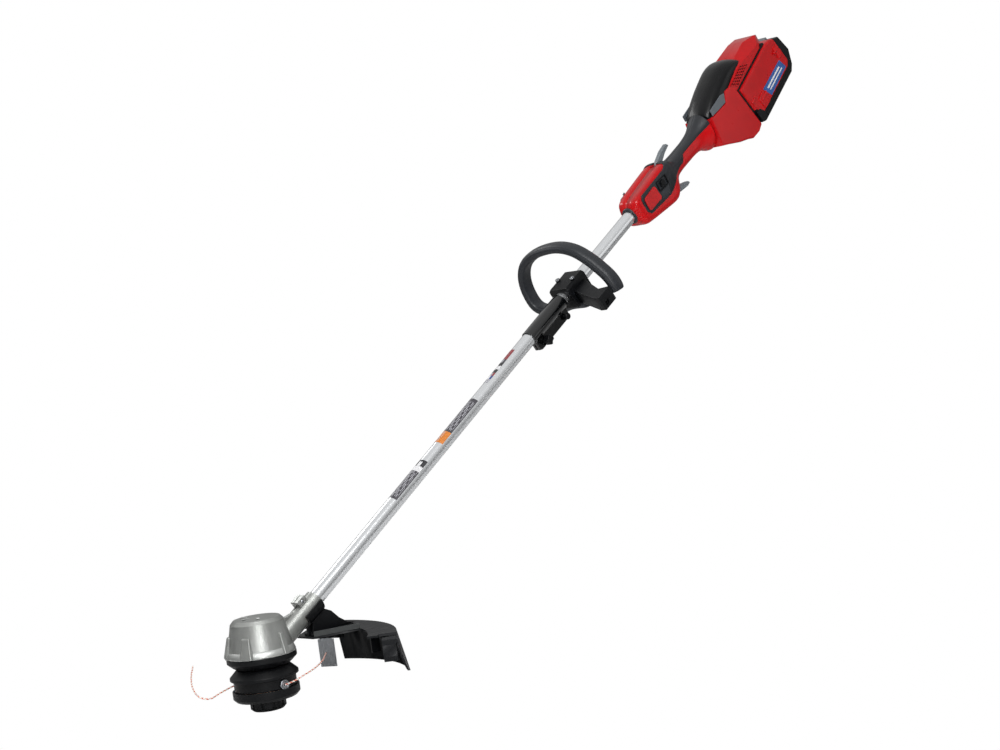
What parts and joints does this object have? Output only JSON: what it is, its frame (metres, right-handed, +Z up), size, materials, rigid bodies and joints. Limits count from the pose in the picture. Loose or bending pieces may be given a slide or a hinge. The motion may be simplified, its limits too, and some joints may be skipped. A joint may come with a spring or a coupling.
{
  "type": "string trimmer",
  "caption": "Cordless string trimmer with a split straight boom, bump-feed line head, rear guard, loop front handle and slide-in battery.",
  "frame": {"origin": "centre of the bump knob's ground face, with the tool in its working attitude", "axes": "+Z up along the spin axis of the cutting head, +X along the ground towards the operator, +Y to the operator's right"},
  "size_m": [1.5655, 0.3188, 1.0403],
  "materials": {
    "red_plastic": "gloss",
    "black_plastic": "satin",
    "gloss_black": "gloss",
    "soft_grip": "matt",
    "grey_plastic": "satin",
    "aluminium_tube": "satin",
    "cast_alloy": "as cast",
    "steel": "satin",
    "copper": "bright",
    "circuit_board": "matt",
    "cell_wrap": "satin",
    "line_plastic": "satin"
  },
  "bodies": {
    "power_head": {"upper_tube": "aluminium_tube", "coupler_sleeve": "gloss_black", "handle_shell_left": "red_plastic", "handle_shell_right": "red_plastic", "side_panel_left": "soft_grip", "side_panel_right": "soft_grip", "grip_overmould": "soft_grip", "trigger_switch": "black_plastic", "motor_housing_left": "red_plastic", "motor_housing_right": "red_plastic", "vent_grille_left": "black_plastic", "vent_grille_right": "black_plastic", "motor_cover": "gloss_black", "stator": "copper", "motor_plate": "aluminium_tube", "battery_dock": "black_plastic", "controller_board": "circuit_board"},
    "drive_line": {"upper_drive_shaft": "steel", "rotor": "steel", "cooling_fan": "black_plastic"},
    "trigger": {"trigger": "grey_plastic"},
    "lockoff": {"lockoff_lever": "grey_plastic"},
    "speed_switch": {"speed_switch": "black_plastic"},
    "assist_handle": {"assist_clamp_upper": "black_plastic", "assist_clamp_lower": "black_plastic", "assist_loop": "soft_grip", "assist_arm": "black_plastic", "assist_bolt_1": "steel", "assist_bolt_2": "steel"},
    "coupler_knob": {"coupler_knob": "black_plastic"},
    "release_button": {"release_button": "red_plastic"},
    "battery": {"battery_shell": "red_plastic", "battery_end_cap": "black_plastic", "battery_cells": "cell_wrap"},
    "battery_latch": {"battery_latch": "grey_plastic"},
    "lower_boom": {"lower_tube": "aluminium_tube", "gear_case": "cast_alloy", "gear_case_base": "black_plastic", "collar_bolt": "steel", "spindle_bearing_lower": "steel", "spindle_bearing_upper": "steel", "pinion_bearing": "steel", "guard": "black_plastic", "guard_bracket": "black_plastic", "guard_screw": "steel", "line_cutter": "steel"},
    "cutting_head": {"output_gear": "steel", "head_upper_case": "black_plastic", "head_lower_cover": "black_plastic", "eyelet_near": "steel", "eyelet_far": "steel", "line_near": "line_plastic", "line_far": "line_plastic", "bump_spring": "steel"},
    "lower_drive": {"lower_drive_shaft": "steel", "bevel_pinion": "steel"},
    "bump_spool": {"bump_knob": "black_plastic", "spool": "grey_plastic", "wound_line": "line_plastic"}
  },
  "joints": [
    {"name": "head_spin", "type": "hinge", "parent": "lower_boom", "child": "cutting_head", "pos_m": [0, 0, 0.05], "axis": [0, 0, 1], "continuous": true},
    {"name": "lower_drive_spin", "type": "hinge", "parent": "lower_boom", "child": "lower_drive", "pos_m": [0.33623, 0, 0.28858], "axis": [0.8406, 0, 0.5417], "continuous": true},
    {"name": "upper_drive_spin", "type": "hinge", "parent": "power_head", "child": "drive_line", "pos_m": [1.00868, 0, 0.72195], "axis": [0.8406, 0, 0.5417], "continuous": true},
    {"name": "bump_press", "type": "slide", "parent": "cutting_head", "child": "bump_spool", "axis": [0, 0, 1], "range_m": [0, 0.006], "stiffness_N_per_m": 1500, "springref_m": -0.006, "deforming": ["bump_spring"]},
    {"name": "trigger_squeeze", "type": "hinge", "parent": "power_head", "child": "trigger", "pos_m": [1.09662, 0, 0.74055], "axis": [0, -1, 0], "range_deg": [0, 12], "stiffness_Nm_per_rad": 0.6, "springref_deg": -17.19},
    {"name": "lockoff_press", "type": "hinge", "parent": "power_head", "child": "lockoff", "pos_m": [1.07404, 0, 0.78667], "axis": [0, 1, 0], "range_deg": [0, 14], "stiffness_Nm_per_rad": 0.4, "springref_deg": -17.19},
    {"name": "speed_slide", "type": "slide", "parent": "power_head", "child": "speed_switch", "axis": [0.8406, 0, 0.5417], "range_m": [-0.006, 0.006]},
    {"name": "assist_slide", "type": "slide", "parent": "power_head", "child": "assist_handle", "axis": [0.8406, 0, 0.5417], "range_m": [-0.008, 0.15]},
    {"name": "coupler_knob_turn", "type": "hinge", "parent": "power_head", "child": "coupler_knob", "pos_m": [0.70227, 0, 0.49593], "axis": [0, 1, 0], "range_deg": [0, 360]},
    {"name": "release_press", "type": "slide", "parent": "power_head", "child": "release_button", "axis": [0, 1, 0], "range_m": [0, 0.003], "stiffness_N_per_m": 900, "springref_m": -0.003},
    {"name": "battery_slide", "type": "slide", "parent": "power_head", "child": "battery", "axis": [0.7278, 0, 0.6858], "range_m": [0, 0.14]},
    {"name": "latch_press", "type": "slide", "parent": "battery", "child": "battery_latch", "axis": [0.6858, 0, -0.7278], "range_m": [0, 0.003], "stiffness_N_per_m": 900, "springref_m": -0.003},
    {"name": "boom_release", "type": "slide", "parent": "power_head", "child": "lower_boom", "axis": [-0.8406, 0, -0.5417], "range_m": [0, 0.058]}
  ],
  "couplings": [
    {"joint": "lower_drive_spin", "follows": "head_spin", "ratio": -2.1667},
    {"joint": "upper_drive_spin", "follows": "head_spin", "ratio": -2.1667}
  ]
}
